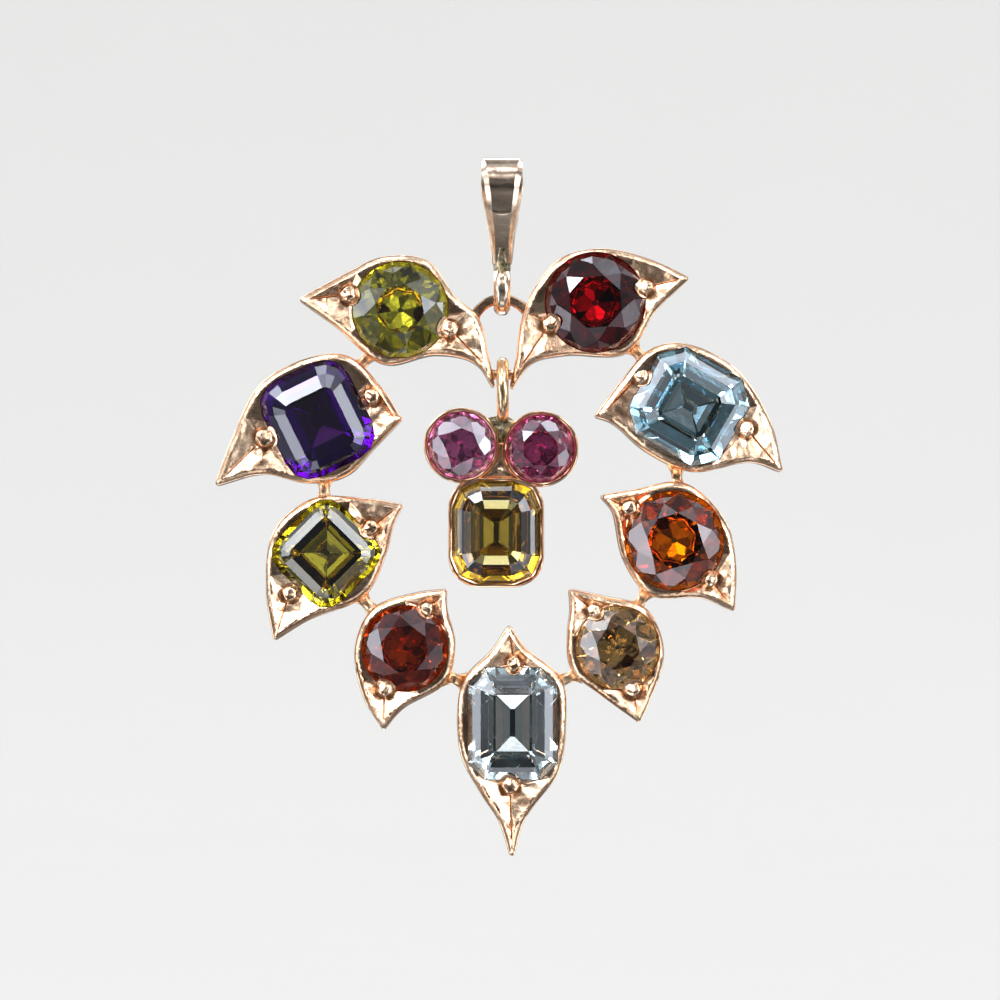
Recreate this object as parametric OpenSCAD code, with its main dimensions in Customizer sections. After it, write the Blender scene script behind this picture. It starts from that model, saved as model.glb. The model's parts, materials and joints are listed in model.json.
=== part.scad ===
// Drop pendant: nine gem-set leaves soldered into a heart, a folded bail with
// a ring that the heart swings on, and a three-stone drop hung in the middle.
// Millimetres, +Z up, +X to the wearer's left, the stones face -Y.
// The origin is the inside of the bail's fold, where the pendant hangs.

/* [Leaves] */
// Thickness of a leaf from front to back
leaf_depth = 3.5; // [3.4:0.1:3.9]
// Width of the polished rim round a leaf
rim_w = 0.42; // [0.36:0.02:0.5]
// Depth of the pocket cut into each tip of a leaf
pocket_depth = 0.75; // [0.4:0.05:0.95]
// Thickness of the bars that join the leaves
link_d = 0.8; // [0.7:0.05:0.9]

/* [Stones] */
// Depth of a girdle's top below the rim of its setting
girdle_drop = 0.4; // [0.3:0.05:0.5]
// Thickness of a girdle
girdle_h = 0.12; // [0.08:0.02:0.16]
// Gap between a stone and its setting
stone_gap = 0.04; // [0.03:0.01:0.06]
// Width of the ledge that a stone sits on
ledge_w = 0.35; // [0.25:0.05:0.4]

/* [Top loop and bridge] */
// Wire thickness of the top loop and of the bridge
loop_wire = 0.75; // [0.7:0.05:0.8]
// Radius of the top loop at the middle of its wire
loop_r = 2.25; // [2.2:0.05:2.35]
// Height of the top loop's centre
loop_z = -12.3; // [-12.35:0.05:-12.25]
// Height of the bridge between the two upper leaves
bridge_z = -15.75; // [-15.8:0.05:-15.7]

/* [Bail] */
// Thickness of the bail's strap
strap_t = 0.6; // [0.5:0.05:0.7]
// Room inside the fold, front to back
fold_gap = 3.2; // [2.8:0.1:3.4]
// Inner radius of the ring at the foot of the bail
ring_in_r = 1.15; // [1.1:0.05:1.2]
// Thickness of that ring, outwards
ring_t = 0.78; // [0.7:0.02:0.8]
// Width of that ring, side to side
ring_w = 1.28; // [1.2:0.02:1.3]

/* [Drop] */
// Wire thickness of the ring that the drop hangs by
drop_wire = 0.9; // [0.8:0.05:0.9]
// Outer diameter of that ring
drop_ring_d = 5.2; // [5:0.1:5.2]
// Thickness of the drop's settings from front to back
bezel_depth = 2.9; // [2.8:0.1:3.2]
// Wall of the drop's settings
bezel_t = 0.3; // [0.28:0.02:0.34]

/* [Hidden] */

rose_gold = [0.83, 0.60, 0.45];
pale_gold = [0.85, 0.68, 0.52];
olive = [0.50, 0.50, 0.10];
garnet = [0.45, 0.03, 0.05];
amethyst = [0.20, 0.05, 0.45];
aqua = [0.70, 0.84, 0.92];
orange = [0.78, 0.28, 0.05];
rust = [0.45, 0.12, 0.03];
champagne = [0.72, 0.60, 0.35];
pink = [0.60, 0.18, 0.40];

round_fn = 48;
join = 0.02;
swing_gap = 0.12;
curve_steps = 6;
tip_reach = 3 * curve_steps;
tip_w = 0.4;
tip_nose = 0.1;
front = leaf_depth / 2;

// A leaf: its two tips, and the points that each side's curve passes through
// from the outer tip to the inner one. Side A is the one that runs
// counter-clockwise, seen from the front.
OUTER = 0;
INNER = 1;
SIDE_A = 2;
SIDE_B = 3;
LEAVES = [
    [[-15.1, -10.1], [-0.65, -16.6],
     [[-12.5, -12.2], [-8.9, -15], [-4.9, -14.3], [-2, -15]],
     [[-12.2, -8.4], [-8.9, -6.9], [-5.6, -7.2], [-3.4, -10], [-1.8, -11.4], [-0.95, -14.6]]],
    [[13.9, -8.5], [0.7, -16.7],
     [[11.4, -7.2], [7.8, -6.3], [4.6, -6.9], [2.5, -9.1], [1.45, -11.6], [1, -14.8]],
     [[11.6, -11], [9.4, -14.15], [4.8, -14.32], [2.3, -14.95]]],
    [[-21.45, -23.95], [-7.6, -19],
     [[-18, -23.3], [-14.6, -23.95], [-11.75, -23.45], [-9.45, -21.2]],
     [[-20.4, -20.8], [-18.1, -16.4], [-14.2, -14.4], [-11.5, -14.4], [-8.9, -16.9]]],
    [[21, -22.9], [7.1, -18.8],
     [[20.2, -19.3], [17.6, -15.33], [13.6, -13.4], [11.1, -13.9], [8.9, -16.3]],
     [[18.7, -22.4], [14.4, -23.1], [11, -21.7], [8.2, -19.4]]],
    [[-17.1, -35.6], [-7.6, -25.6],
     [[-14.6, -34.3], [-10.3, -32.4], [-8.7, -29.3], [-8.1, -27]],
     [[-17.75, -32], [-17.2, -27.6], [-14.3, -25.1], [-10, -25.1]]],
    [[17.4, -33.4], [7.6, -24.9],
     [[17.6, -30], [16.8, -26.7], [13.7, -23.9], [9.9, -24.4]],
     [[15, -32.6], [11.2, -32.4], [9.1, -29.7], [8.3, -26.2]]],
    [[-8.95, -42.35], [-4.3, -32],
     [[-7.4, -40.9], [-4.2, -38.9], [-3.5, -36], [-4.1, -33.3]],
     [[-10.4, -40.1], [-11.1, -36.4], [-9.8, -33.4], [-6.6, -32.2]]],
    [[10.35, -41.8], [5.2, -32],
     [[11.1, -40.4], [12.2, -36.6], [10.85, -33.35], [7.6, -32.4]],
     [[7.3, -39.8], [5.2, -38], [4.9, -35.2], [5.1, -33.4]]],
    [[0.75, -51.85], [0.55, -34.8],
     [[1.6, -49.5], [2.5, -48.1], [4.3, -45.6], [4.85, -41.5], [4.5, -38.7], [1.8, -36.3]],
     [[-0.25, -49.4], [-1.6, -47.3], [-3.1, -44.4], [-3.35, -40.6], [-2.9, -38.7], [-0.8, -36.5]]]
];

// A stone: its centre, half width, half height, corner radius, facets round a
// corner, turn, table's distance in from the girdle, crown and pavilion height,
// and for a step cut how far its table is off the middle, along the stone.
// A corner radius of 0 is a round brilliant.
CENTRE = 0;
HALF_W = 1;
HALF_H = 2;
CORNER = 3;
CORNER_N = 4;
TURN = 5;
TABLE_IN = 6;
CROWN = 7;
PAVILION = 8;
OFF_MIDDLE = 9;
STONES = [
    [[-7.65, -10.9], 3.62, 3.62, 0, 0, 10, 1.75, 1.05, 2.7],
    [[7, -10.37], 3.75, 3.75, 0, 0, 4, 1.7, 1.05, 2.75],
    [[-13.85, -19.15], 3.57, 3.97, 2, 3, 26, 1.6, 1, 2.75, -0.42],
    [[14.05, -18.2], 3.93, 3.75, 1.5, 1, -30, 2, 1, 2.75, 0],
    [[-13.2, -29.2], 3.34, 3.34, 1.6, 3, 45, 1.3, 1, 2.6, 0],
    [[12.95, -28.25], 3.72, 3.72, 0, 0, 16, 1.62, 1.05, 2.75],
    [[-7.3, -36.35], 3.22, 3.22, 0, 0, 8, 1.4, 0.95, 2.5],
    [[8.7, -36.3], 3.15, 3.15, 0, 0, 12, 1.5, 0.95, 2.5],
    [[0.8, -42], 3.35, 4.2, 1.25, 1, 0, 1.9, 1, 2.75, 0]
];
DROP_STONES = [
    [[-3.05, -21.1], 2.5, 2.5, 0, 0, 22, 1.2, 0.75, 1.95],
    [[2.9, -21.35], 2.52, 2.52, 0, 0, 0, 1.15, 0.75, 1.95],
    [[-0.44, -27.63], 3.27, 3.8, 2, 2, 0, 1.38, 0.85, 2.05, 0]
];

// The rows of facets behind a step cut's girdle: the part of its half width
// that each is inset, and the part of its pavilion that each is deep.
STEP_BACK = [[0.3, 0.45], [0.62, 0.78], [0.94, 1]];

// The grain beads that hold each leaf's stone: centre and radius.
BEADS = [
    [-11.6, -9.75, 0.55], [-3.85, -12.4, 0.6],
    [10.9, -9.2, 0.5], [3.5, -12.05, 0.5],
    [-17.9, -20.55, 0.6], [-9.7, -17.4, 0.55],
    [18.45, -19.95, 0.55], [10.35, -15.85, 0.5],
    [-16, -32.3, 0.5], [-9.8, -27.25, 0.5],
    [15.75, -31.25, 0.45], [9.5, -25.75, 0.5],
    [-8.85, -39.5, 0.5], [-5.6, -33.3, 0.45],
    [9.85, -39.5, 0.5], [6.85, -33.45, 0.45],
    [0.6, -46.75, 0.55], [0.9, -37.4, 0.5]
];
bead_rise = 0.08;

// The bars between neighbouring leaves, from end to end.
LINKS = [
    [[-9.75, -14.1], [-10.95, -15.3]],
    [[9.75, -13.6], [10.85, -14.8]],
    [[-13.4, -23.6], [-13.4, -25.3]],
    [[13.2, -22.6], [13.2, -24.3]],
    [[-10.7, -32.4], [-9.5, -33.8]],
    [[11, -32], [10.1, -33.4]],
    [[-4.2, -38.5], [-2.9, -38.9]],
    [[4.2, -38.9], [5.7, -38.3]]
];

// The bail's outline from the front: height, half width before and behind.
STRAP_ROWS = [
    [1, 1.54, 1.54], [-0.4, 1.54, 1.56], [-1.05, 1.36, 1.58], [-1.85, 1.27, 1.56],
    [-3.7, 1, 1.3], [-5.5, 0.76, 1], [-8.4, 0.64, 0.68]
];
strap_foot_z = -7.7;
strap_foot_half = 0.72;
strap_gap_z = -6.7;
strap_gap_half = 0.14;

strap_span = 4;

drop_ring_x = 0.05;
web_depth = 2;
loop_end = 18;

// The solder under the drop's ring, seen from the front.
SOLDER = [[-0.85, -18.9], [-0.8, -20.6], [0.75, -20.8], [0.9, -18.95]];

BRIDGE = [[-0.95, bridge_z], [1.15, bridge_z]];
loop_top_z = loop_z + loop_r;
ring_z = loop_top_z - loop_wire / 2 - swing_gap + ring_in_r;
drop_ring_r = (drop_ring_d - drop_wire) / 2;
drop_ring_z = bridge_z + loop_wire / 2 + swing_gap / 2 - (drop_ring_r - drop_wire / 2);
bezel_front = bezel_depth / 2;

// Curves and outlines

function chord(a, b) = sqrt(norm(b - a));

function blend(a, b, ta, tb, t) = a * (tb - t) / (tb - ta) + b * (t - ta) / (tb - ta);

// A point on the centripetal spline through a, b, c and d, at u from b to c.
function spline_at(a, b, c, d, u) =
    let (
        t1 = chord(a, b),
        t2 = t1 + chord(b, c),
        t3 = t2 + chord(c, d),
        t = t1 + (t2 - t1) * u,
        ab = blend(a, b, 0, t1, t),
        bc = blend(b, c, t1, t2, t),
        cd = blend(c, d, t2, t3, t)
    )
    blend(blend(ab, bc, 0, t2, t), blend(bc, cd, t1, t3, t), t1, t2, t);

// The curve through a list of points, without its last one.
function curve(points) =
    let (
        last = len(points) - 1,
        p = [2 * points[0] - points[1], each points, 2 * points[last] - points[last - 1]]
    )
    [for (i = [1:last], k = [0:curve_steps - 1])
        spline_at(p[i - 1], p[i], p[i + 1], p[i + 2], k / curve_steps)];

function reversed(list) = [for (i = [len(list) - 1:-1:0]) list[i]];

// Half the width of a leaf's blunt tip, square to the line between its tips.
function tip_half(leaf) =
    let (way = leaf[OUTER] - leaf[INNER])
    tip_w / 2 * [-way.y, way.x] / norm(way);

// A leaf's outline, counter-clockwise from its outer tip.
function leaf_outline(leaf) =
    let (
        way = leaf[OUTER] - leaf[INNER],
        half = tip_half(leaf),
        nose = tip_nose * way / norm(way)
    )
    [
        leaf[OUTER] + nose,
        each curve([leaf[OUTER] + half, each leaf[SIDE_A], leaf[INNER] + half]),
        leaf[INNER] + half,
        leaf[INNER] - nose,
        each curve([leaf[INNER] - half, each reversed(leaf[SIDE_B]), leaf[OUTER] - half]),
        leaf[OUTER] - half
    ];

// Where a leaf's inner tip comes in its outline.
function inner_at(leaf) = curve_steps * (len(leaf[SIDE_A]) + 1) + 2;

function to_segment(p, a, b) =
    let (way = b - a, t = max(0, min(1, (p - a) * way / (way * way))))
    norm(p - a - t * way);

function to_outline(p, outline) =
    let (n = len(outline))
    min([for (i = [0:n - 1]) to_segment(p, outline[i], outline[(i + 1) % n])]);

// The rim's inner edge round a tip, rim_w in from the outline, within 37
// degrees of the tip as the stone's centre sees it.
function rim_edge(outline, tip_at, centre) =
    let (
        n = len(outline),
        way = (outline[tip_at] - centre) / norm(outline[tip_at] - centre)
    )
    [for (k = [-tip_reach:tip_reach])
        let (
            i = (tip_at + k + n) % n,
            along = outline[(i + 1) % n] - outline[(i + n - 1) % n],
            p = outline[i] + rim_w * [-along.y, along.x] / norm(along)
        )
        if ((p - centre) * way > 0.8 * norm(p - centre) && to_outline(p, outline) > 0.97 * rim_w)
            p];

// A rectangle with rounded or cut corners, moved in by inset all round.
function cut_rectangle(w, h, corner, n, inset) =
    let (
        r = max(corner - inset * (1 - tan(22.5 / n)), 0.05),
        x = w - inset - r,
        y = h - inset - r
    )
    [for (k = [0:3], j = [0:n])
        let (a = 90 * (k + j / n), sx = (k == 0 || k == 3) ? 1 : -1, sy = k < 2 ? 1 : -1)
        [sx * x + r * cos(a), sy * y + r * sin(a)]];

// Solids

function ring_of(points, z) = [for (p = points) [p.x, p.y, z]];

// A solid through rings of equally many points, from the lowest to the highest.
module loft(rings) {
    n = len(rings[0]);
    top = len(rings) - 1;
    polyhedron(
        points = [for (r = rings) each r],
        faces = [
            [for (i = [0:n - 1]) i],
            [for (i = [n - 1:-1:0]) top * n + i],
            for (k = [0:top - 1], i = [0:n - 1])
                [k * n + i, (k + 1) * n + i, (k + 1) * n + (i + 1) % n, k * n + (i + 1) % n]
        ]
    );
}

// A round brilliant: eight table sides, sixteen girdle facets and a small culet.
// Its girdle's top is at height 0.
module brilliant(r, table_in, crown, pavilion) {
    table_r = r - table_in;
    star_r = (r + table_r) / 2;
    star_z = crown * (r - star_r * cos(22.5)) / (r - table_r);
    main_r = r * 0.45;
    main_z = pavilion * (1 - main_r * cos(22.5) / r);
    culet_r = r * 0.06;
    culet_z = pavilion * (1 - culet_r * cos(22.5) / r);
    table = 0;
    star = 8;
    girdle_top = 16;
    girdle_foot = 32;
    main = 48;
    culet = 56;
    polyhedron(
        points = [
            for (k = [0:7]) [table_r * cos(45 * k + 22.5), table_r * sin(45 * k + 22.5), crown],
            for (k = [0:7]) [star_r * cos(45 * k), star_r * sin(45 * k), star_z],
            for (j = [0:15]) [r * cos(22.5 * j), r * sin(22.5 * j), 0],
            for (j = [0:15]) [r * cos(22.5 * j), r * sin(22.5 * j), -girdle_h],
            for (k = [0:7]) [main_r * cos(45 * k), main_r * sin(45 * k), -girdle_h - main_z],
            for (k = [0:7]) [culet_r * cos(45 * k), culet_r * sin(45 * k), -girdle_h - culet_z]
        ],
        faces = [
            [for (k = [7:-1:0]) table + k],
            for (k = [0:7]) [table + (k + 7) % 8, table + k, star + k],
            for (k = [0:7]) [table + k, star + (k + 1) % 8, girdle_top + 2 * k + 1, star + k],
            for (k = [0:7]) [star + k, girdle_top + 2 * k, girdle_top + (2 * k + 15) % 16],
            for (k = [0:7]) [star + k, girdle_top + 2 * k + 1, girdle_top + 2 * k],
            for (j = [0:15])
                [girdle_top + j, girdle_top + (j + 1) % 16, girdle_foot + (j + 1) % 16, girdle_foot + j],
            for (k = [0:7]) [main + k, girdle_foot + (2 * k + 15) % 16, girdle_foot + 2 * k],
            for (k = [0:7]) [main + k, girdle_foot + 2 * k, girdle_foot + 2 * k + 1],
            for (k = [0:7])
                [main + k, girdle_foot + 2 * k + 1, main + (k + 1) % 8, culet + (k + 1) % 8, culet + k],
            [for (k = [0:7]) culet + k]
        ]
    );
}

// A step cut: two rows of facets above the girdle and three below.
// Its girdle's top is at height 0. A row is inset, height and shift.
function step_rows(half, table_in, crown, pavilion, shift) = [
    for (row = reversed(STEP_BACK)) [half * row[0], -girdle_h - pavilion * row[1], 0],
    [0, -girdle_h, 0],
    [0, 0, 0],
    [table_in * 0.5, crown * 0.62, shift * 0.5],
    [table_in, crown, shift]
];

module step_cut(w, h, corner, n, table_in, crown, pavilion, shift) {
    loft([for (row = step_rows(min(w, h), table_in, crown, pavilion, shift))
        [for (p = cut_rectangle(w, h, corner, n, row[0])) [p.x, p.y + row[2], row[1]]]]);
}

// A stone in its place, in a setting whose rim is at height rim. It may be
// larger all round by grow, and lifted.
module stone(s, rim, grow = 0, lift = 0) {
    translate([s[CENTRE].x, s[CENTRE].y, rim - girdle_drop + lift])
    rotate([0, 0, s[TURN]])
    if (s[CORNER] == 0)
        brilliant(s[HALF_W] + grow, s[TABLE_IN], s[CROWN], s[PAVILION]);
    else
        step_cut(s[HALF_W] + grow, s[HALF_H] + grow, s[CORNER], s[CORNER_N],
                 s[TABLE_IN], s[CROWN], s[PAVILION], s[OFF_MIDDLE]);
}

// The outline of a stone, smaller by inset.
module stone_outline(s, inset) {
    translate(s[CENTRE])
    rotate([0, 0, s[TURN]])
    if (s[CORNER] == 0)
        circle(s[HALF_W] - inset, $fn = round_fn);
    else
        polygon(cut_rectangle(s[HALF_W], s[HALF_H], s[CORNER], s[CORNER_N], inset));
}

// How far a stone's pavilion runs back over the ledge that holds it.
function seat_height(s) =
    let (half = min(s[HALF_W], s[HALF_H]), first = STEP_BACK[0])
    (ledge_w + stone_gap) * s[PAVILION] / half * (s[CORNER] == 0 ? 1 : first[1] / first[0]);

// What a setting leaves open for its stone: the open back, the sloping seat
// under the girdle and the recess above it.
module stone_room(s, rim) {
    seat = rim - girdle_drop - girdle_h - stone_gap;
    foot = seat - seat_height(s);
    end = rim + 1;
    rows = [[ledge_w, -end], [ledge_w, foot], [-stone_gap, seat], [-stone_gap, end]];
    translate([s[CENTRE].x, s[CENTRE].y, 0])
    rotate([0, 0, s[TURN]])
    if (s[CORNER] == 0)
        rotate_extrude($fn = round_fn)
        polygon([[0, -end], for (row = rows) [s[HALF_W] - row[0], row[1]], [0, end]]);
    else
        loft([for (row = rows)
            ring_of(cut_rectangle(s[HALF_W], s[HALF_H], s[CORNER], s[CORNER_N], row[0]), row[1])]);
}

// The bright-cut pocket in a leaf's tip: a fan of facets that runs down from
// the rim's inner edge to the foot of the bead.
module pocket(outline, tip_at, centre, bead) {
    rim = [each rim_edge(outline, tip_at, centre), centre + 0.4 * (bead - centre)];
    n = len(rim);
    polyhedron(
        points = [
            for (p = rim) [p.x, p.y, front],
            for (p = rim) [p.x, p.y, front + 1],
            [bead.x, bead.y, front - pocket_depth]
        ],
        faces = [
            for (i = [0:n - 1]) [i, (i + 1) % n, 2 * n],
            for (i = [0:n - 1]) [i, n + i, n + (i + 1) % n, (i + 1) % n],
            [for (i = [n - 1:-1:0]) n + i]
        ]
    );
}

// A grain bead with a chamfered top.
module bead(b) {
    top = front + bead_rise;
    chamfer = b[2] * 0.45;
    translate([b.x, b.y, 0]) cylinder(r = b[2], h = top - chamfer, $fn = round_fn);
    translate([b.x, b.y, top - chamfer])
        cylinder(r1 = b[2], r2 = b[2] - chamfer, h = chamfer, $fn = round_fn);
}

// What a bead leaves open for its stone: the recess up to the girdle, and the
// crown over it.
module crown_room(s, rim) {
    translate([0, 0, -rim])
    linear_extrude(2 * rim - girdle_drop + stone_gap / 2)
        stone_outline(s, -1.3 * stone_gap);
    stone(s, rim, stone_gap, stone_gap);
}

// A leaf lies flat here, with its face up and its middle at height 0.
module leaf_collet(leaf, s, beads) {
    outline = leaf_outline(leaf);
    difference() {
        translate([0, 0, -front]) linear_extrude(leaf_depth) polygon(outline);
        stone_room(s, front);
        pocket(outline, 0, s[CENTRE], [beads[0].x, beads[0].y]);
        pocket(outline, inner_at(leaf), s[CENTRE], [beads[1].x, beads[1].y]);
    }
    difference() {
        for (b = beads) bead(b);
        crown_room(s, front);
    }
}

module bar(a, b, d) {
    way = b - a;
    translate([a.x, a.y, 0])
    rotate([0, 0, atan2(way.y, way.x)])
    rotate([0, 90, 0])
    cylinder(d = d, h = norm(way), $fn = round_fn);
}

// Stands a shape that was drawn face up on its foot, with its face to -Y.
module upright() {
    rotate([90, 0, 0]) children();
}

module heart_frame() {
    color(rose_gold)
    upright() {
        for (i = [0:len(LEAVES) - 1])
            leaf_collet(LEAVES[i], STONES[i], [BEADS[2 * i], BEADS[2 * i + 1]]);
        for (link = LINKS) bar(link[0], link[1], link_d);
        bar(BRIDGE[0], BRIDGE[1], loop_wire);
        translate([0, loop_z]) rotate([0, 0, loop_end])
            rotate_extrude(angle = 180 - 2 * loop_end, $fn = round_fn)
            translate([loop_r, 0]) circle(d = loop_wire, $fn = round_fn);
    }
}

// A loop's side view: a round top of radius r whose sides run straight to a
// foot of half width half at height foot.
module teardrop_side(r, centre_z, half, foot) {
    drop = centre_z - foot;
    reach = norm([half, drop]);
    angle = atan2(-drop, half) + acos(r / reach);
    touch = [r * cos(angle), centre_z + r * sin(angle)];
    translate([0, centre_z]) circle(r, $fn = round_fn);
    polygon([[-touch.x, touch.y], [-half, foot], [half, foot], touch, [0, centre_z]]);
}

// The strap seen from the front, before (column 1) or behind (column 2).
module strap_face(column) {
    polygon([
        for (row = STRAP_ROWS) [row[column], row[0]],
        for (row = reversed(STRAP_ROWS)) [-row[column], row[0]]
    ]);
}

module strap() {
    inner_r = fold_gap / 2;
    intersection() {
        rotate([90, 0, 90])
        translate([0, 0, -strap_span / 2])
        linear_extrude(strap_span)
        difference() {
            teardrop_side(inner_r + strap_t, -inner_r, strap_foot_half, strap_foot_z);
            teardrop_side(inner_r, -inner_r, strap_gap_half, strap_gap_z);
        }
        union() {
            upright() linear_extrude(strap_span) strap_face(1);
            upright() translate([0, 0, -strap_span]) linear_extrude(strap_span + join) strap_face(2);
        }
    }
}

// A ring's wire, flat inside and round outside, standing at its inner radius.
module ring_wire(inner_r, thick, wide) {
    intersection() {
        translate([inner_r + thick - wide / 2, 0]) circle(d = wide, $fn = round_fn);
        translate([inner_r, -wide / 2]) square([wide, wide]);
    }
}

module bail() {
    color(pale_gold) {
        strap();
        translate([0, 0, ring_z])
        rotate([0, 90, 0])
        rotate_extrude($fn = round_fn)
        ring_wire(ring_in_r, ring_t, ring_w);
    }
}

// The outline of a drop's setting, wall included.
module bezel_outline(s) {
    wall = stone_gap + bezel_t;
    if (s[CORNER] == 0)
        stone_outline(s, -wall);
    else
        translate(s[CENTRE])
        cushion(s[HALF_W] + wall, s[HALF_H] + wall, s[CORNER] + wall);
}

// A rectangle with rounded corners.
module cushion(w, h, r) {
    x = w - r;
    y = h - r;
    square([2 * w, 2 * y], center = true);
    square([2 * x, 2 * h], center = true);
    for (sx = [-1, 1], sy = [-1, 1])
        translate([sx * x, sy * y]) circle(r, $fn = round_fn);
}

// The metal that fills the corner between the three settings, and the solder
// that carries the ring.
module drop_web() {
    translate([0, 0, -web_depth / 2]) linear_extrude(web_depth) {
        polygon([for (s = DROP_STONES) s[CENTRE]]);
        polygon(SOLDER);
    }
}

module drop_setting() {
    color(rose_gold) {
        upright() difference() {
            union() {
                for (s = DROP_STONES)
                    translate([0, 0, -bezel_front]) linear_extrude(bezel_depth) bezel_outline(s);
                drop_web();
            }
            for (s = DROP_STONES) stone_room(s, bezel_front);
        }
        translate([drop_ring_x, 0, drop_ring_z])
        rotate([0, 90, 0])
        rotate_extrude($fn = round_fn)
        translate([drop_ring_r, 0]) circle(d = drop_wire, $fn = round_fn);
    }
}

module set_stone(tint, s, rim) {
    color(tint) upright() stone(s, rim);
}

bail();
heart_frame();
drop_setting();
set_stone(olive, STONES[0], front);  // stone_upper_left
set_stone(garnet, STONES[1], front);  // stone_upper_right
set_stone(amethyst, STONES[2], front);  // stone_left
set_stone(aqua, STONES[3], front);  // stone_right
set_stone(olive, STONES[4], front);  // stone_mid_left
set_stone(orange, STONES[5], front);  // stone_mid_right
set_stone(rust, STONES[6], front);  // stone_low_left
set_stone(champagne, STONES[7], front);  // stone_low_right
set_stone(aqua, STONES[8], front);  // stone_bottom
set_stone(pink, DROP_STONES[0], bezel_front);  // drop_stone_left
set_stone(pink, DROP_STONES[1], bezel_front);  // drop_stone_right
set_stone(olive, DROP_STONES[2], bezel_front);  // drop_stone_lower
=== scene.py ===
"""Looks for the drop pendant: the metal is rebuilt in finer meshes from the CAD's own
tables, and the stones keep their CAD solids, with glass materials."""

import json
import math
from collections import namedtuple

import bmesh
import bpy
import numpy as np
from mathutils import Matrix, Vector, noise
from mathutils.geometry import delaunay_2d_cdt

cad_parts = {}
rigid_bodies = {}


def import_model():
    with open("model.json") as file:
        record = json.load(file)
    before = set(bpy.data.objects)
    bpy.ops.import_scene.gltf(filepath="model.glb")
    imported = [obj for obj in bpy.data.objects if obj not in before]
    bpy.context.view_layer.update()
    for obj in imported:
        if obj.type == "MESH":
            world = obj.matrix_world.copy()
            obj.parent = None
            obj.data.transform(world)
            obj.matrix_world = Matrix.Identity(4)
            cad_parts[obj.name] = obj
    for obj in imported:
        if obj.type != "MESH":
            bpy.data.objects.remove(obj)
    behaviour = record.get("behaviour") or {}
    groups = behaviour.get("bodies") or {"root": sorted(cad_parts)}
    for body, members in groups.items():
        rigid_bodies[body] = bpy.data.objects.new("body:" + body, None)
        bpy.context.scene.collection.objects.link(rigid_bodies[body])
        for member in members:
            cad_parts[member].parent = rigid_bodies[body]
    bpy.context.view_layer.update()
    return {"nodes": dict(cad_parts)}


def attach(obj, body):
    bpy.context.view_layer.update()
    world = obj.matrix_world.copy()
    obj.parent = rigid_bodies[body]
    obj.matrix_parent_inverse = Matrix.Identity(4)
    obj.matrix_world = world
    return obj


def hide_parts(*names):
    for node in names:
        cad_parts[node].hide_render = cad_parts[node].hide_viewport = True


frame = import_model()
scene = bpy.context.scene

MM = 0.001

# ---- tables, in mm
# Everything is drawn face up, as in the CAD: x is the row's X, y its Z, z its -Y.

LEAF_DEPTH = 3.5
FRONT = LEAF_DEPTH / 2
RIM_W = 0.42
POCKET_DEPTH = 0.75
GIRDLE_DROP = 0.4
GIRDLE_H = 0.12
STONE_GAP = 0.04
RECESS_GAP = STONE_GAP + 0.01
LEDGE_W = 0.35
TIP_W = 0.4
TIP_NOSE = 0.1

# Each group of pieces: its body, the node that it replaces, and its slot
HEART = ("heart", "heart_frame", "heart_gold")
BAIL = ("bail", "bail", "bail_gold")
DROP = ("drop", "drop_setting", "drop_gold")

LEAF_NAMES = [
    "upper_left", "upper_right", "left", "right", "mid_left",
    "mid_right", "low_left", "low_right", "bottom",
]
# outer tip, inner tip, counter-clockwise side, clockwise side
LEAVES = [
    [(-15.1, -10.1), (-0.65, -16.6),
     [(-12.5, -12.2), (-8.9, -15), (-4.9, -14.3), (-2, -15)],
     [(-12.2, -8.4), (-8.9, -6.9), (-5.6, -7.2), (-3.4, -10), (-1.8, -11.4), (-0.95, -14.6)]],
    [(13.9, -8.5), (0.7, -16.7),
     [(11.4, -7.2), (7.8, -6.3), (4.6, -6.9), (2.5, -9.1), (1.45, -11.6), (1, -14.8)],
     [(11.6, -11), (9.4, -14.15), (4.8, -14.32), (2.3, -14.95)]],
    [(-21.45, -23.95), (-7.6, -19),
     [(-18, -23.3), (-14.6, -23.95), (-11.75, -23.45), (-9.45, -21.2)],
     [(-20.4, -20.8), (-18.1, -16.4), (-14.2, -14.4), (-11.5, -14.4), (-8.9, -16.9)]],
    [(21, -22.9), (7.1, -18.8),
     [(20.2, -19.3), (17.6, -15.33), (13.6, -13.4), (11.1, -13.9), (8.9, -16.3)],
     [(18.7, -22.4), (14.4, -23.1), (11, -21.7), (8.2, -19.4)]],
    [(-17.1, -35.6), (-7.6, -25.6),
     [(-14.6, -34.3), (-10.3, -32.4), (-8.7, -29.3), (-8.1, -27)],
     [(-17.75, -32), (-17.2, -27.6), (-14.3, -25.1), (-10, -25.1)]],
    [(17.4, -33.4), (7.6, -24.9),
     [(17.6, -30), (16.8, -26.7), (13.7, -23.9), (9.9, -24.4)],
     [(15, -32.6), (11.2, -32.4), (9.1, -29.7), (8.3, -26.2)]],
    [(-8.95, -42.35), (-4.3, -32),
     [(-7.4, -40.9), (-4.2, -38.9), (-3.5, -36), (-4.1, -33.3)],
     [(-10.4, -40.1), (-11.1, -36.4), (-9.8, -33.4), (-6.6, -32.2)]],
    [(10.35, -41.8), (5.2, -32),
     [(11.1, -40.4), (12.2, -36.6), (10.85, -33.35), (7.6, -32.4)],
     [(7.3, -39.8), (5.2, -38), (4.9, -35.2), (5.1, -33.4)]],
    [(0.75, -51.85), (0.55, -34.8),
     [(1.6, -49.5), (2.5, -48.1), (4.3, -45.6), (4.85, -41.5), (4.5, -38.7), (1.8, -36.3)],
     [(-0.25, -49.4), (-1.6, -47.3), (-3.1, -44.4), (-3.35, -40.6), (-2.9, -38.7), (-0.8, -36.5)]],
]
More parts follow.
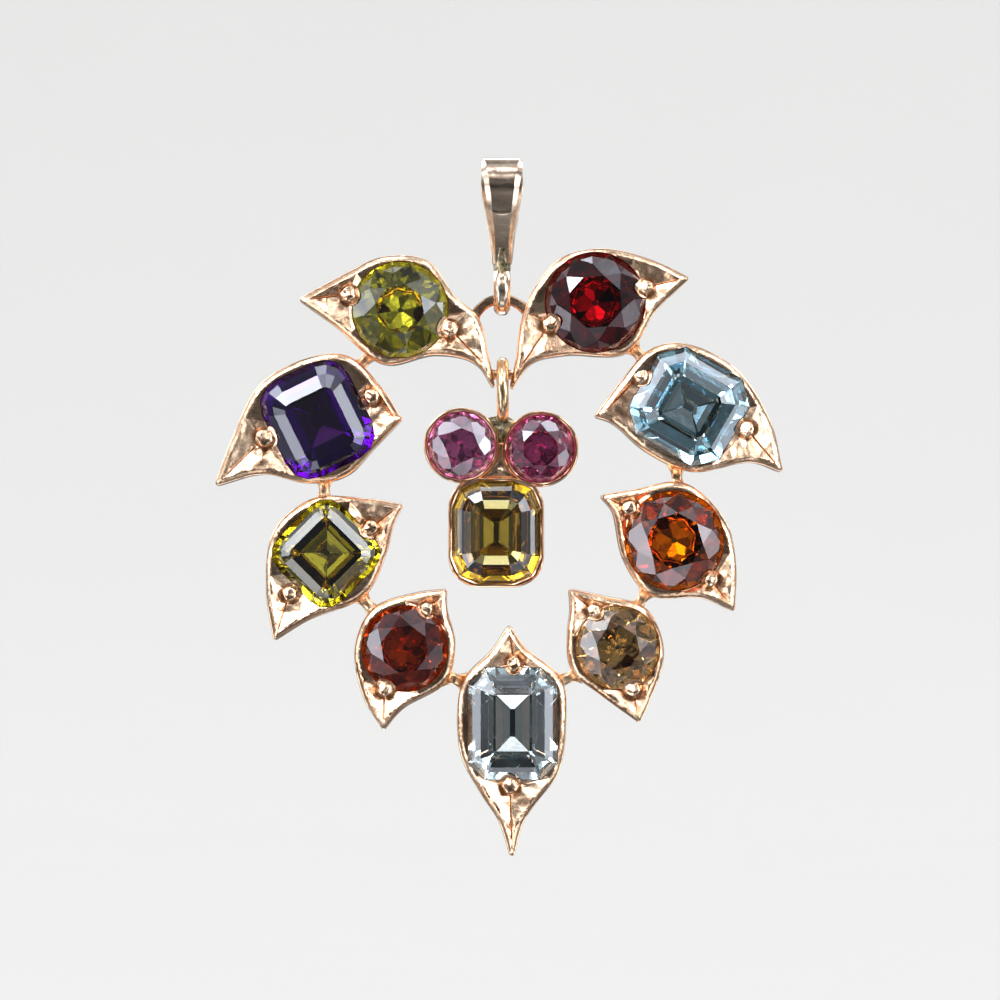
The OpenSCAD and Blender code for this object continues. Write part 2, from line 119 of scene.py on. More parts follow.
# w and h are half the width and height, corner the corners' radius, 0 for a round
# stone, steps the facets round a corner, and table_in the table's inset.
Stone = namedtuple("Stone", "centre w h corner steps turn table_in crown pavilion")
STONES = [
    Stone((-7.65, -10.9), 3.62, 3.62, 0, 0, 10, 1.75, 1.05, 2.7),
    Stone((7, -10.37), 3.75, 3.75, 0, 0, 4, 1.7, 1.05, 2.75),
    Stone((-13.85, -19.15), 3.57, 3.97, 2, 3, 26, 1.6, 1, 2.75),
    Stone((14.05, -18.2), 3.93, 3.75, 1.5, 1, -30, 2, 1, 2.75),
    Stone((-13.2, -29.2), 3.34, 3.34, 1.6, 3, 45, 1.3, 1, 2.6),
    Stone((12.95, -28.25), 3.72, 3.72, 0, 0, 16, 1.62, 1.05, 2.75),
    Stone((-7.3, -36.35), 3.22, 3.22, 0, 0, 8, 1.4, 0.95, 2.5),
    Stone((8.7, -36.3), 3.15, 3.15, 0, 0, 12, 1.5, 0.95, 2.5),
    Stone((0.8, -42), 3.35, 4.2, 1.25, 1, 0, 1.9, 1, 2.75),
]
DROP_STONES = [
    Stone((-3.05, -21.1), 2.5, 2.5, 0, 0, 22, 1.2, 0.75, 1.95),
    Stone((2.9, -21.35), 2.52, 2.52, 0, 0, 0, 1.15, 0.75, 1.95),
    Stone((-0.44, -27.63), 3.27, 3.8, 2, 2, 0, 1.38, 0.85, 2.05),
]
# x, y and radius, two for each leaf: at its outer tip and at its inner one
BEADS = [
    (-11.6, -9.75, 0.55), (-3.85, -12.4, 0.6),
    (10.9, -9.2, 0.5), (3.5, -12.05, 0.5),
    (-17.9, -20.55, 0.6), (-9.7, -17.4, 0.55),
    (18.45, -19.95, 0.55), (10.35, -15.85, 0.5),
    (-16, -32.3, 0.5), (-9.8, -27.25, 0.5),
    (15.75, -31.25, 0.45), (9.5, -25.75, 0.5),
    (-8.85, -39.5, 0.5), (-5.6, -33.3, 0.45),
    (9.85, -39.5, 0.5), (6.85, -33.45, 0.45),
    (0.6, -46.75, 0.55), (0.9, -37.4, 0.5),
]
LINKS = [
    [(-9.75, -14.1), (-10.95, -15.3)],
    [(9.75, -13.6), (10.85, -14.8)],
    [(-13.4, -23.6), (-13.4, -25.3)],
    [(13.2, -22.6), (13.2, -24.3)],
    [(-10.7, -32.4), (-9.5, -33.8)],
    [(11, -32), (10.1, -33.4)],
    [(-4.2, -38.5), (-2.9, -38.9)],
    [(4.2, -38.9), (5.7, -38.3)],
]
LINK_R = 0.4

LOOP_R = 2.25
LOOP_Y = -12.3
LOOP_WIRE = 0.75
LOOP_END = 16
BRIDGE = [(-0.95, -15.75), (1.15, -15.75)]

# height, half width before and behind, from the foot up
STRAP_ROWS = [
    (-8.4, 0.64, 0.68), (-5.5, 0.76, 1), (-3.7, 1, 1.3), (-1.85, 1.27, 1.56),
    (-1.05, 1.36, 1.58), (-0.4, 1.54, 1.56), (1, 1.54, 1.54),
]
STRAP_T = 0.6
FOLD_R = 1.6
# half depth and height of the strap's outer and inner foot
STRAP_FOOT = (0.72, -7.7)
STRAP_GAP = (0.14, -6.7)
RING_Y = -9.395
RING_IN_R = 1.15
RING_T = 0.78
RING_W = 1.28

DROP_RING = (0.05, -17.015)
DROP_RING_R = 2.15
DROP_WIRE_R = 0.45
BEZEL_FRONT = 1.45
BEZEL_T = 0.3

# ---- curves and outlines

TINY = 1e-12
CURVE_STEPS = 12
# How many points of a leaf's outline on either side of a tip may bound its pocket
TIP_REACH = 3 * CURVE_STEPS
# Cosine of the widest angle from a tip's direction that its pocket takes in
TIP_FAN = 0.8
ROUND_SIDES = 72
OUTLINE_STEP = 0.3
MIN_CORNER = 0.05
# A crown rises steeply from the girdle, and less so from its break to the table
CROWN_STEEP = 1.3
CROWN_BREAK = 0.24


def v2(p):
    """The first two coordinates as a vector."""
    return Vector((p[0], p[1]))


def left_of(way):
    """The direction turned left by a right angle."""
    return Vector((-way.y, way.x))


def turned(p, degrees):
    """A point turned counter-clockwise round the origin."""
    a = math.radians(degrees)
    return Vector((p[0] * math.cos(a) - p[1] * math.sin(a),
                   p[0] * math.sin(a) + p[1] * math.cos(a)))


def angles(n):
    """n angles round a full turn."""
    return [2 * math.pi * k / n for k in range(n)]


def kept(items, keep):
    """The items whose flag is set."""
    return [item for item, k in zip(items, keep) if k]


def lifted(line, z):
    """A flat line's points at the height z."""
    return [(*p, z) for p in line]


def blend(a, b, ta, tb, t):
    """Where the line through a at ta and b at tb is at t."""
    return a * ((tb - t) / (tb - ta)) + b * ((t - ta) / (tb - ta))


def spline_at(a, b, c, d, u):
    """The centripetal spline from b to c at u, from 0 to 1."""
    t1 = math.sqrt((b - a).length)
    t2 = t1 + math.sqrt((c - b).length)
    t3 = t2 + math.sqrt((d - c).length)
    t = t1 + (t2 - t1) * u
    ab, bc, cd = blend(a, b, 0, t1, t), blend(b, c, t1, t2, t), blend(c, d, t2, t3, t)
    return blend(blend(ab, bc, 0, t2, t), blend(bc, cd, t1, t3, t), t1, t2, t)


def curve(points):
    """The centripetal spline through the points, without its last one."""
    p = [2 * points[0] - points[1], *points, 2 * points[-1] - points[-2]]
    return [spline_at(*p[i - 1:i + 3], k / CURVE_STEPS)
            for i in range(1, len(points)) for k in range(CURVE_STEPS)]


def leaf_outline(leaf):
    """A leaf's edge from the outer tip, and the index of the inner one."""
    outer, inner = v2(leaf[0]), v2(leaf[1])
    way = (outer - inner).normalized()
    half = left_of(way) * TIP_W / 2
    side_a = curve([outer + half, *map(v2, leaf[2]), inner + half])
    side_b = curve([inner - half, *map(v2, reversed(leaf[3])), outer - half])
    line = [outer + way * TIP_NOSE, *side_a, inner + half, inner - way * TIP_NOSE]
    return line + side_b + [outer - half], len(side_a) + 2


def inset(line, d):
    """A closed counter-clockwise line moved in by d, with mitred corners."""
    out = []
    for i, p in enumerate(line):
        a = (p - line[i - 1]).normalized()
        b = (line[(i + 1) % len(line)] - p).normalized()
        m = Vector((-a.y - b.y, a.x + b.x))
        out.append(p + m * (2 * d / max(m.length_squared, 1)))
    return out


def as_array(points):
    """Points as rows of x and y."""
    return np.array([(p[0], p[1]) for p in points], float)


def cross(u, v):
    """The cross product of flat vectors."""
    return u[..., 0] * v[..., 1] - u[..., 1] * v[..., 0]


def distance(points, line):
    """Each point's distance to a closed line."""
    p, a = as_array(points)[:, None], as_array(line)[None]
    way = np.roll(a, -1, 1) - a
    t = np.clip(((p - a) * way).sum(-1) / np.maximum((way * way).sum(-1), TINY), 0, 1)
    return np.linalg.norm(p - a - way * t[..., None], axis=-1).min(1)


def inside(points, line):
    """Whether each point is within a closed line."""
    p, a = as_array(points)[:, None], as_array(line)[None]
    b = np.roll(a, -1, 1)
    spans = (a[..., 1] > p[..., 1]) != (b[..., 1] > p[..., 1])
    rise = b[..., 1] - a[..., 1]
    rise = np.where(np.abs(rise) < TINY, TINY, rise)
    x = a[..., 0] + (p[..., 1] - a[..., 1]) * (b[..., 0] - a[..., 0]) / rise
    return (spans & (p[..., 0] < x)).sum(1) % 2 == 1


def cut_rectangle(w, h, corner, steps, d):
    """A rectangle moved in by d, with its corners cut in this many facets."""
    r = max(corner - d * (1 - math.tan(math.radians(90 / (4 * steps)))), MIN_CORNER)
    out = []
    for k in range(4):
        for j in range(steps + 1):
            a = math.radians(90 * (k + j / steps))
            sx, sy = (1 if k in (0, 3) else -1), (1 if k < 2 else -1)
            out.append((sx * (w - d - r) + r * math.cos(a), sy * (h - d - r) + r * math.sin(a)))
    return out


def divided(line, step):
    """A closed line with points no further apart than step."""
    out = []
    for i, p in enumerate(line):
        q = line[(i + 1) % len(line)]
        n = max(1, math.ceil((q - p).length / step))
        out += [p.lerp(q, k / n) for k in range(n)]
    return out


def stone_outline(s, d):
    """A stone's girdle moved in by d."""
    centre = v2(s.centre)
    if s.corner == 0:
        return [centre + turned((s.w - d, 0), 360 * k / ROUND_SIDES)
                for k in range(ROUND_SIDES)]
    cut = cut_rectangle(s.w, s.h, s.corner, s.steps, d)
    return divided([centre + turned(p, s.turn) for p in cut], OUTLINE_STEP)


def crown_at(s, p):
    """How far p is inside the stone's girdle, and how high its crown is there."""
    q = turned(p - v2(s.centre), -s.turn)
    if s.corner == 0:
        deep = s.w - q.length
    else:
        x, y, r = abs(q.x), abs(q.y), s.corner
        deep = min(s.w - x, s.h - y)
        if s.steps == 1:
            deep = min(deep, (s.w + s.h - r - x - y) / math.sqrt(2))
        elif x > s.w - r and y > s.h - r:
            deep = r - math.hypot(x - s.w + r, y - s.h + r)
    part = min(max(deep / s.table_in, 0), 1)
    return deep, s.crown * min(CROWN_STEEP * part, CROWN_BREAK + (1 - CROWN_BREAK) * part)


def rim_edge(line, tip_at, centre):
    """The rim's inner edge round a tip."""
    n = len(line)
    way = (line[tip_at] - centre).normalized()
    points = []
    for k in range(-TIP_REACH, TIP_REACH + 1):
        i = (tip_at + k) % n
        along = (line[(i + 1) % n] - line[i - 1]).normalized()
        p = line[i] + left_of(along) * RIM_W
        if (p - centre).dot(way) > TIP_FAN * (p - centre).length:
            points.append(p)
    return kept(points, distance(points, line) > 0.97 * RIM_W)


# ---- meshes

# Corners that agree to this many digits of a mm are one
DIGITS = 4
# Flat points nearer than this, in mm, are one
MESH_NEAR = 1e-5


def rough(p, size, seed=0.0):
    """Smooth noise from -1 to 1, with bumps about size mm wide."""
    return noise.noise(Vector((p[0] / size + seed, p[1] / size - seed, p[2] / size + 2 * seed)))


def squared(a):
    """The reach of a unit square with very round corners, at the angle a."""
    return (abs(math.cos(a)) ** 3 + abs(math.sin(a)) ** 3) ** (-1 / 3)


def linked(name, data):
    """A new object in the scene."""
    item = bpy.data.objects.new(name, data)
    scene.collection.objects.link(item)
    return item


class Shell:
    """Faces drawn face up in mm, whose corners merge where they meet."""

    def __init__(self):
        self.ids, self.points, self.faces = {}, [], []

    def point(self, p):
        """The number of the corner at p."""
        key = tuple(round(c, DIGITS) for c in p)
        if key not in self.ids:
            self.ids[key] = len(self.points)
            self.points.append(key)
        return self.ids[key]

    def face(self, *corners):
        """One face, unless too few of its corners are left."""
        ids = [self.point(p) for p in corners]
        ids = [v for k, v in enumerate(ids) if v != ids[k - 1]]
        if len(set(ids)) == len(ids) > 2:
            self.faces.append(ids)

    def band(self, low, high):
        """Quads between two closed rings."""
        for k in range(len(low)):
            j = (k + 1) % len(low)
            self.face(low[k], low[j], high[j], high[k])

    def tube(self, rings, ends=True):
        """Bands from ring to ring, with a face over each end if ends."""
        for low, high in zip(rings, rings[1:]):
            self.band(low, high)
        if ends:
            self.face(*reversed(rings[0]))
            self.face(*rings[-1])

    def hoop(self, rings):
        """Bands from ring to ring and back to the first."""
        self.tube(rings + rings[:1], ends=False)

    def join(self, other):
        """Another shell's faces, whose corners don't merge with these."""
        offset = len(self.points)
        self.points += other.points
        self.faces += [[v + offset for v in f] for f in other.faces]

    def piece(self, name, body, node, slot, material, crease):
        """The shell as an object, whose edges over crease degrees are sharp."""
        mesh = bpy.data.meshes.new(name)
        mesh.from_pydata([(x * MM, -z * MM, y * MM) for x, y, z in self.points], [], self.faces)
        work = bmesh.new()
        work.from_mesh(mesh)
        bmesh.ops.recalc_face_normals(work, faces=work.faces)
        work.to_mesh(mesh)
        work.free()
        mesh.shade_smooth()
        mesh.set_sharp_from_angle(angle=math.radians(crease))
        mesh.materials.append(material)
        piece = linked(name, mesh)
        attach(piece, body)
        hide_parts(node)


def flat_mesh(loops, lines, loose):
    """Points and triangles over closed loops, open lines and loose points."""
    points, edges = [], []
    for line, closed in [(l, True) for l in loops] + [(l, False) for l in lines]:
        start, n = len(points), len(line)
        points += line
        edges += [(start + k, start + (k + 1) % n) for k in range(n if closed else n - 1)]
    points += loose
    found = delaunay_2d_cdt([v2(p) for p in points], edges, [], 0, MESH_NEAR)
    return found[0], found[2]


def between(points, faces, outer, hole):
    """The faces whose middles are inside outer and outside hole."""
    at = [(points[a] + points[b] + points[c]) / 3 for a, b, c in faces]
    return kept(faces, inside(at, outer) & ~inside(at, hole))


def grid_points(line, step, seed):
    """A jittered grid over a closed line's box."""
    low, high = as_array(line).min(0), as_array(line).max(0)
    out = []
    for i in range(int((high[0] - low[0]) / step) + 1):
        for j in range(int((high[1] - low[1]) / step) + 1):
            x, y = low[0] + (i + 0.5 * (j % 2)) * step, low[1] + j * step
            jog_x, jog_y = (0.3 * step * rough((x, y, lane), 0.31, seed) for lane in (0, 5))
            out.append(Vector((x + jog_x, y + jog_y)))
    return out


# ---- leaves

# The outer edge's inset and drop, and the rim's height inside it by its inset
BEVEL = [(0, -0.62), (0.02, -0.38), (0.07, -0.25)]
BEVEL_W, BEVEL_DROP = BEVEL[-1]
RIM_AT = [0.07, 0.14, 0.3, 0.4, 0.46, 0.9]
RIM_UP = [-0.25, -0.18, -0.07, -0.01, 0, -0.03]
# The bright cut along a pocket: its size, and how much of it there is along it
GROOVE_HALF = 0.07
GROOVE_DEEP = 0.09
GROOVE_AT = [0.1, 0.3, 0.85, 1]
GROOVE_PART = [0, 1, 1, 0]
GROOVE_CUTS = 12
# Spacing of the front's and the back's points, and the insets of the rim's rows
FRONT_STEP = 0.2
BACK_STEP = 0.55
RIM_ROWS = (0.14, 0.3, 0.42)
# The back's bevels, at its outer edge and at its opening
BACK_IN = 0.1
BACK_BEVEL = 0.18
OPENING_GROWN = 1.03
OPENING_BEVEL = 0.12
# Step cuts are deeper under the girdle than round ones, by this factor
STEP_BACK = 0.45 / 0.3

# A bead's rings from its top: reach and drop, as parts of its radius
BEAD_ROWS = [(0, 0), (0.3, 0.02), (0.52, 0.06), (0.7, 0.13), (0.83, 0.24), (0.92, 0.4),
             (0.98, 0.6), (1.06, 0.82), (1.2, 1.02), (1.24, 1.3)]
BEAD_SIDES = 32
BEAD_GROWN = 1.25
BEAD_UP = 0.12
BEAD_OVER_STONE = 0.07


def seat_of(s, rim):
    """Heights of a setting's seat and of its foot, under the girdle."""
    slope = s.pavilion / min(s.w, s.h) * (1 if s.corner == 0 else STEP_BACK)
    seat = rim - GIRDLE_DROP - GIRDLE_H - STONE_GAP
    return seat, seat - (LEDGE_W + STONE_GAP) * slope


def to_ledge(s, p):
    """A point of the recess' outline, moved in to the ledge's."""
    q = turned(p - v2(s.centre), -s.turn)
    w, h = s.w, s.h
    q = Vector((q.x * (w - LEDGE_W) / (w + RECESS_GAP), q.y * (h - LEDGE_W) / (h + RECESS_GAP)))
    return v2(s.centre) + turned(q, s.turn)


def add_bead(shell, b, s, seed):
    """A grain of metal raised from the pocket and pressed over the stone."""
    at, r = v2(b), BEAD_GROWN * b[2]
    toward = (v2(s.centre) - at).normalized()
    top = FRONT + BEAD_UP + 0.05 * rough((seed, 0, 0), 0.7)
    # the top slopes down towards the upper left, more or less
    lean = turned((0.26 + 0.12 * rough((seed, 5, 0), 0.7), 0), 118 + 60 * rough((seed, 2, 0), 0.7))
    rings = []
    for out, drop in BEAD_ROWS:
        ring = []
        for k in range(BEAD_SIDES):
            way = turned((1, 0), 360 * k / BEAD_SIDES)
            spread = 1 + 0.14 * way.dot(toward) + 0.16 * rough((way.x, way.y, seed), 0.8, seed)
            z = top - drop * r + 0.08 * rough((way.x * out, way.y * out, seed), 0.6, seed + 3)
            p = at + way * r * out * spread
            z -= min(1, 1.4 - out) * (p - at).dot(lean)
            deep, crown = crown_at(s, p)
            if deep > -STONE_GAP:
                z = max(z, FRONT - GIRDLE_DROP + crown + BEAD_OVER_STONE)
            ring.append((p.x, p.y, z))
        rings.append(ring)
    shell.tube(rings[::-1])


def pockets(line, inner_at, centre, beads):
    """Each tip's pocket as its deepest point, its outline and the way of its bright
    cut to the tip, and the lines that their mesh follows."""
    found, lines = [], []
    for tip_at, b in zip((0, inner_at), beads):
        apex = v2(b)
        rim = rim_edge(line, tip_at, centre)
        way = line[tip_at] - centre
        valley = max(rim, key=lambda p: p.dot(way)) - apex
        found.append((apex, rim + [centre + 0.4 * (apex - centre)], valley))
        aside = left_of(valley).normalized() * GROOVE_HALF
        cuts = [apex + valley * (k / GROOVE_CUTS) for k in range(GROOVE_CUTS + 1)]
        lines += [[rim[0], apex], [rim[-1], apex], cuts]
        lines += [[p + aside for p in cuts[2:-1]], [p - aside for p in cuts[2:-1]]]
    return found, lines


def front_mesh(number, line, hole, edge, pits, lines):
    """Flat points and triangles of a leaf's front, from its edge to the recess."""
    loose = grid_points(line, FRONT_STEP, number)
    for d in RIM_ROWS:
        row = inset(line, d)
        loose += kept(row, distance(row, line) > 0.98 * d)
    keep = (distance(loose, line) > 0.12) & (distance(loose, hole) > 0.05)
    keep &= inside(loose, line) & ~inside(loose, hole)
    for apex, _, valley in pits:
        keep &= distance(loose, [apex, apex + valley]) > 0.1
    loops = [edge, hole] + [ring for _, ring, _ in pits]
    points, faces = flat_mesh(loops, lines, kept(loose, keep))
    return points, between(points, faces, edge, hole)


def pocket_depths(points, pits):
    """How far the pockets and the bright cuts go down at each point."""
    deep = np.zeros(len(points))
    flat = as_array(points)
    for apex, ring, _ in pits:
        a = as_array([apex])[0]
        for k in range(len(ring)):
            b, c = as_array([ring[k], ring[(k + 1) % len(ring)]])
            area = cross(b - a, c - a)
            if abs(area) < 1e-9:
                continue
            part_b, part_c = cross(flat - a, c - a) / area, cross(b - a, flat - a) / area
            hit = (part_b > -1e-4) & (part_c > -1e-4) & (part_b + part_c < 1.0001)
            here = POCKET_DEPTH * (1 - part_b - part_c)
            deep = np.where(hit, np.maximum(deep, here), deep)
    for apex, _, valley in pits:
        away = distance(points, [apex, apex + valley])
        along = [(p - apex).dot(valley) / valley.length_squared for p in points]
        deep += (GROOVE_DEEP * np.maximum(1 - away / GROOVE_HALF, 0)
                 * np.interp(along, GROOVE_AT, GROOVE_PART))
    return deep


def front_points(number, line, points, deep):
    """The front's points in space: swelling rim, pockets and hammer marks."""
    high = []
    for p, d, up in zip(points, deep, np.interp(distance(points, line), RIM_AT, RIM_UP)):
        at = (p.x, p.y, 0)
        marks = 0.1 * rough(at, 0.9, number + 5) + 0.03 * rough(at, 0.35, number + 9)
        uneven = 0.025 * rough(at, 1.1, number) + min(d / 0.1, 1) * marks
        high.append((p.x, p.y, FRONT + up - d + uneven))
    return high


def hole_loop(points, faces, hole):
    """The corners of the front's open edge along the recess, in order."""
    used = {}
    for f in faces:
        for k in range(3):
            e = (f[k], f[(k + 1) % 3])
            used[frozenset(e)] = e if frozenset(e) not in used else None
    near = distance(points, hole) < 0.003
    after = {e[1]: e[0] for e in used.values() if e and near[e[0]] and near[e[1]]}
    start = next(iter(after))
    loop = [start]
    while after[loop[-1]] != start:
        loop.append(after[loop[-1]])
    return loop


def add_recess(shell, s, edge):
    """The stone's recess under the front's edge; gives the back's opening."""
    centre = v2(s.centre)
    seat, foot = seat_of(s, FRONT)
    ledge = [to_ledge(s, v2(p)) for p in edge]
    opening = [centre + (p - centre) * OPENING_GROWN for p in ledge]
    wall = [(x, y, min(z, seat)) for x, y, z in edge]
    shell.tube([edge, wall, lifted(ledge, foot), lifted(ledge, -FRONT + OPENING_BEVEL),
                lifted(opening, -FRONT)], ends=False)
    return opening


def add_sides(shell, line, moved_in, high):
    """The outer side from the back up to the front; gives the back's edge."""
    front = {(round(x, 3), round(y, 3)): z for x, y, z in high}
    top = [(p.x, p.y, front.get((round(p.x, 3), round(p.y, 3)), FRONT + BEVEL_DROP))
           for p in moved_in(BEVEL_W)]
    bevels = [lifted(moved_in(d), FRONT + z) for d, z in BEVEL[:-1]]
    walls = [lifted(line, z) for z in (-FRONT + BACK_BEVEL, -0.9, 0, 0.9)]
    back = moved_in(BACK_IN)
    shell.tube([lifted(back, -FRONT), *walls, *bevels, top], ends=False)
    return back


def add_back(shell, number, line, back, opening):
    """The slightly uneven back between its edge and its opening."""
    loose = grid_points(line, BACK_STEP, number + 20)
    keep = (distance(loose, line) > 0.3) & (distance(loose, opening) > 0.25) & inside(loose, line)
    points, faces = flat_mesh([back, opening], [], kept(loose, keep))
    edges = {(round(p.x, 4), round(p.y, 4)) for p in back + opening}
    low = []
    for p in points:
        uneven = 0.03 * rough((p.x, p.y, 3), 1.5, number)
        on_edge = (round(p.x, 4), round(p.y, 4)) in edges
        low.append((*p, -FRONT + (0 if on_edge else uneven)))
    for f in between(points, faces, back, opening):
        shell.face(*(low[v] for v in f))


def build_leaf(number):
    """One leaf: its front, recess, sides, back and two beads."""
    s = STONES[number]
    beads = BEADS[2 * number:2 * number + 2]
    line, inner_at = leaf_outline(LEAVES[number])
    hole = stone_outline(s, -RECESS_GAP)
    # where the wall beside the recess is thin, so is the bevel
    slim = np.minimum(0.4 * distance(line, hole) / BEVEL_W, 1)

    def moved_in(d):
        return [p.lerp(q, k) for p, q, k in zip(line, inset(line, d), slim)]

    pits, lines = pockets(line, inner_at, v2(s.centre), beads)
    points, faces = front_mesh(number, line, hole, moved_in(BEVEL_W), pits, lines)
    high = front_points(number, line, points, pocket_depths(points, pits))
    shell = Shell()
    for f in faces:
        shell.face(*(high[v] for v in f))
    opening = add_recess(shell, s, [high[v] for v in hole_loop(points, faces, hole)])
    back = add_sides(shell, line, moved_in, high)
    add_back(shell, number, line, back, opening)
    grains = Shell()
    for k, b in enumerate(beads):
        add_bead(grains, b, s, 2 * number + k)
    shell.join(grains)

    def wobble(p):
        """The sides' hand-filed unevenness, which leaves the front's edge alone."""
        part = min(max((FRONT - 0.4 - p[2]) / 0.6, 0), 1)
        if part == 0:
            return p
        x, y = (0.03 * part * rough(p, 1.4, number + lane) for lane in (3, 7))
        return (p[0] + x, p[1] + y, p[2])

    shell.points = [wobble(p) for p in shell.points]
    shell.piece("leaf_" + LEAF_NAMES[number], *HEART, gold_heart, crease=28)


# ---- links, loop and bail

BAR_ROWS = 15
BAR_SIDES = 20
LOOP_ROWS = 40
LOOP_BEVEL = 0.13

FOLD_STEPS = 34
LEG_STEPS = 130
# Places across the strap's face, as parts of its half width
ACROSS = [k / 4 for k in range(-4, 5)]
# The face's shallow hollows above and below the ridge: top and length
HOLLOWS = [(-0.9, 2.8), (-3.7, 3.2)]
HOLLOW_DEPTH = 0.06
# The cross ridge on the face, which bows down in the middle
RIDGE_Y = -3.56
RIDGE_BOW = 0.16
RIDGE_HALF = 0.13
RIDGE_RISE = 0.055

RING_SIDES = 64
RING_ARC = 11
RING_FLAT = 0.04
# The solder at the strap's foot: height, half width, half depth
SOLDER_ROWS = [
    (-6.1, 0.16, 0.9), (-6.25, 0.3, 1.12), (-6.45, 0.4, 1.09), (-6.65, 0.42, 1.03),
    (-6.85, 0.5, 1.02), (-7.05, 0.52, 0.95), (-7.25, 0.6, 0.95), (-7.45, 0.64, 0.97),
    (-7.75, 0.64, 1.1), (-8.05, 0.6, 1.3), (-8.3, 0.46, 1.36),
]
SOLDER_SIDES = 40


def bar_rings(ends, radius, flare, seed, reach):
    """A bar that widens into solder at both ends and goes on by reach."""
    a, b = map(v2, ends)
    way = (b - a).normalized()
    side = left_of(way)
    rings = []
    for row in range(BAR_ROWS):
        t = row / (BAR_ROWS - 1)
        mid = (a - way * reach).lerp(b + way * reach, t)
        r = radius * (1 + flare * abs(2 * t - 1) ** 2)
        ring = []
        for turn in angles(BAR_SIDES):
            at = (mid.x + math.cos(turn), mid.y, math.sin(turn))
            out = r * (1 + 0.13 * rough(at, 0.7, seed)) * squared(turn)
            u = out * math.cos(turn)
            ring.append((mid.x + side.x * u, mid.y + side.y * u, out * math.sin(turn)))
        rings.append(ring)
    return rings


def build_links():
    """The bars between the leaves, and the bridge that the drop hangs on."""
    shell = Shell()
    for k, ends in enumerate(LINKS):
        shell.tube(bar_rings(ends, 1.02 * LINK_R, 1.1, k + 0.5, 0.05))
    shell.piece("links", *HEART, gold_solder, crease=40)
    shell = Shell()
    shell.tube(bar_rings(BRIDGE, 0.95 * LOOP_WIRE / 2, 0.1, 3.3, -0.1))
    shell.piece("bridge", *HEART, gold_heart, crease=40)


def build_loop():
    """The flat-faced wire that arches between the two upper leaves."""
    shell = Shell()
    half, cut = LOOP_WIRE / 2, LOOP_BEVEL
    section = [(half, cut - half), (half, half - cut), (half - cut, half), (cut - half, half),
               (-half, half - cut), (-half, cut - half), (cut - half, -half), (half - cut, -half)]
    rings = []
    for row in range(LOOP_ROWS + 1):
        way = turned((1, 0), 180 - LOOP_END - (180 - 2 * LOOP_END) * row / LOOP_ROWS)
        end = abs(2 * row / LOOP_ROWS - 1)
        swell = 1 + 0.35 * max(0, end - 0.8) / 0.2
        ring = []
        for u, w in section:
            p = Vector((0, LOOP_Y)) + way * (LOOP_R + u * swell)
            at = (p.x, p.y, w)
            jog = 0.02 * rough(at, 0.9, 2.2)
            ring.append((p.x + jog * way.x, p.y + jog * way.y, w + 0.015 * rough(at, 1.1, 4)))
        rings.append(ring)
    shell.tube(rings)
    shell.piece("top_loop", *HEART, gold_heart, crease=30)


def teardrop(r, foot):
    """Points from the front foot over the round top to the back one, as (depth, height)."""
    half, foot_y = foot
    drop = -FOLD_R - foot_y
    angle = math.atan2(-drop, half) + math.acos(r / math.hypot(half, drop))
    touch = (r * math.cos(angle), -FOLD_R + r * math.sin(angle))
    leg = [(half + (touch[0] - half) * t, foot_y + (touch[1] - foot_y) * t)
           for t in (k / LEG_STEPS for k in range(LEG_STEPS))]
    top = [angle + (math.pi - 2 * angle) * k / FOLD_STEPS for k in range(FOLD_STEPS + 1)]
    top = [(r * math.cos(a), -FOLD_R + r * math.sin(a)) for a in top]
    return leg + top + [(-z, y) for z, y in reversed(leg)]


def strap_half(y, before):
    """The strap's half width at a height, on its front or back leg."""
    return float(np.interp(y, [row[0] for row in STRAP_ROWS],
                           [row[1 if before else 2] for row in STRAP_ROWS]))


def build_strap():
    """The bail's bevelled strap, folded over, with a hollow face and a cross ridge."""
    rings = []
    outline = zip(teardrop(FOLD_R + STRAP_T, STRAP_FOOT), teardrop(FOLD_R, STRAP_GAP))
    for (zo, yo), (zi, yi) in outline:
        before = zo > 0
        w = strap_half(yo, before)
        bevel = min(0.3 * w, 0.36) if yo < 0 else 0.12 + 0.24 * max(0, 1 - yo / 0.6)
        top, length = HOLLOWS[0 if yo > HOLLOWS[1][0] else 1]
        part = (top - yo) / length
        hollow = HOLLOW_DEPTH * math.sin(math.pi * part) if 0 < part < 1 and before else 0
        within, thick = Vector((zi, yi)), Vector((zo - zi, yo - yi))
        heel, shoulder = within + thick * 0.08, within + thick * 0.62
        face = []
        for t in ACROSS:
            off = abs(yo - RIDGE_Y + RIDGE_BOW * (1 - t * t)) / RIDGE_HALF
            rise = RIDGE_RISE * max(0, 1 - off) * (0.8 + 0.2 * rough((t, 0, 0), 0.6, 4))
            down = hollow - (rise if before else 0)
            face.append(((w - bevel) * t, within + thick * (1 - down / thick.length)))
        ring = []
        for x, q in [(-w + 0.06, (zi, yi)), (-w, heel), (-w, shoulder), *face,
                     (w, shoulder), (w, heel), (w - 0.06, (zi, yi))]:
            at = (x, q[1], q[0])
            ring.append((x + 0.02 * rough(at, 1.2, 6), q[1], q[0] + 0.012 * rough(at, 0.9, 8)))
        rings.append(ring)
    shell = Shell()
    shell.tube(rings)
    shell.piece("bail_strap", *BAIL, gold_bail, crease=24)


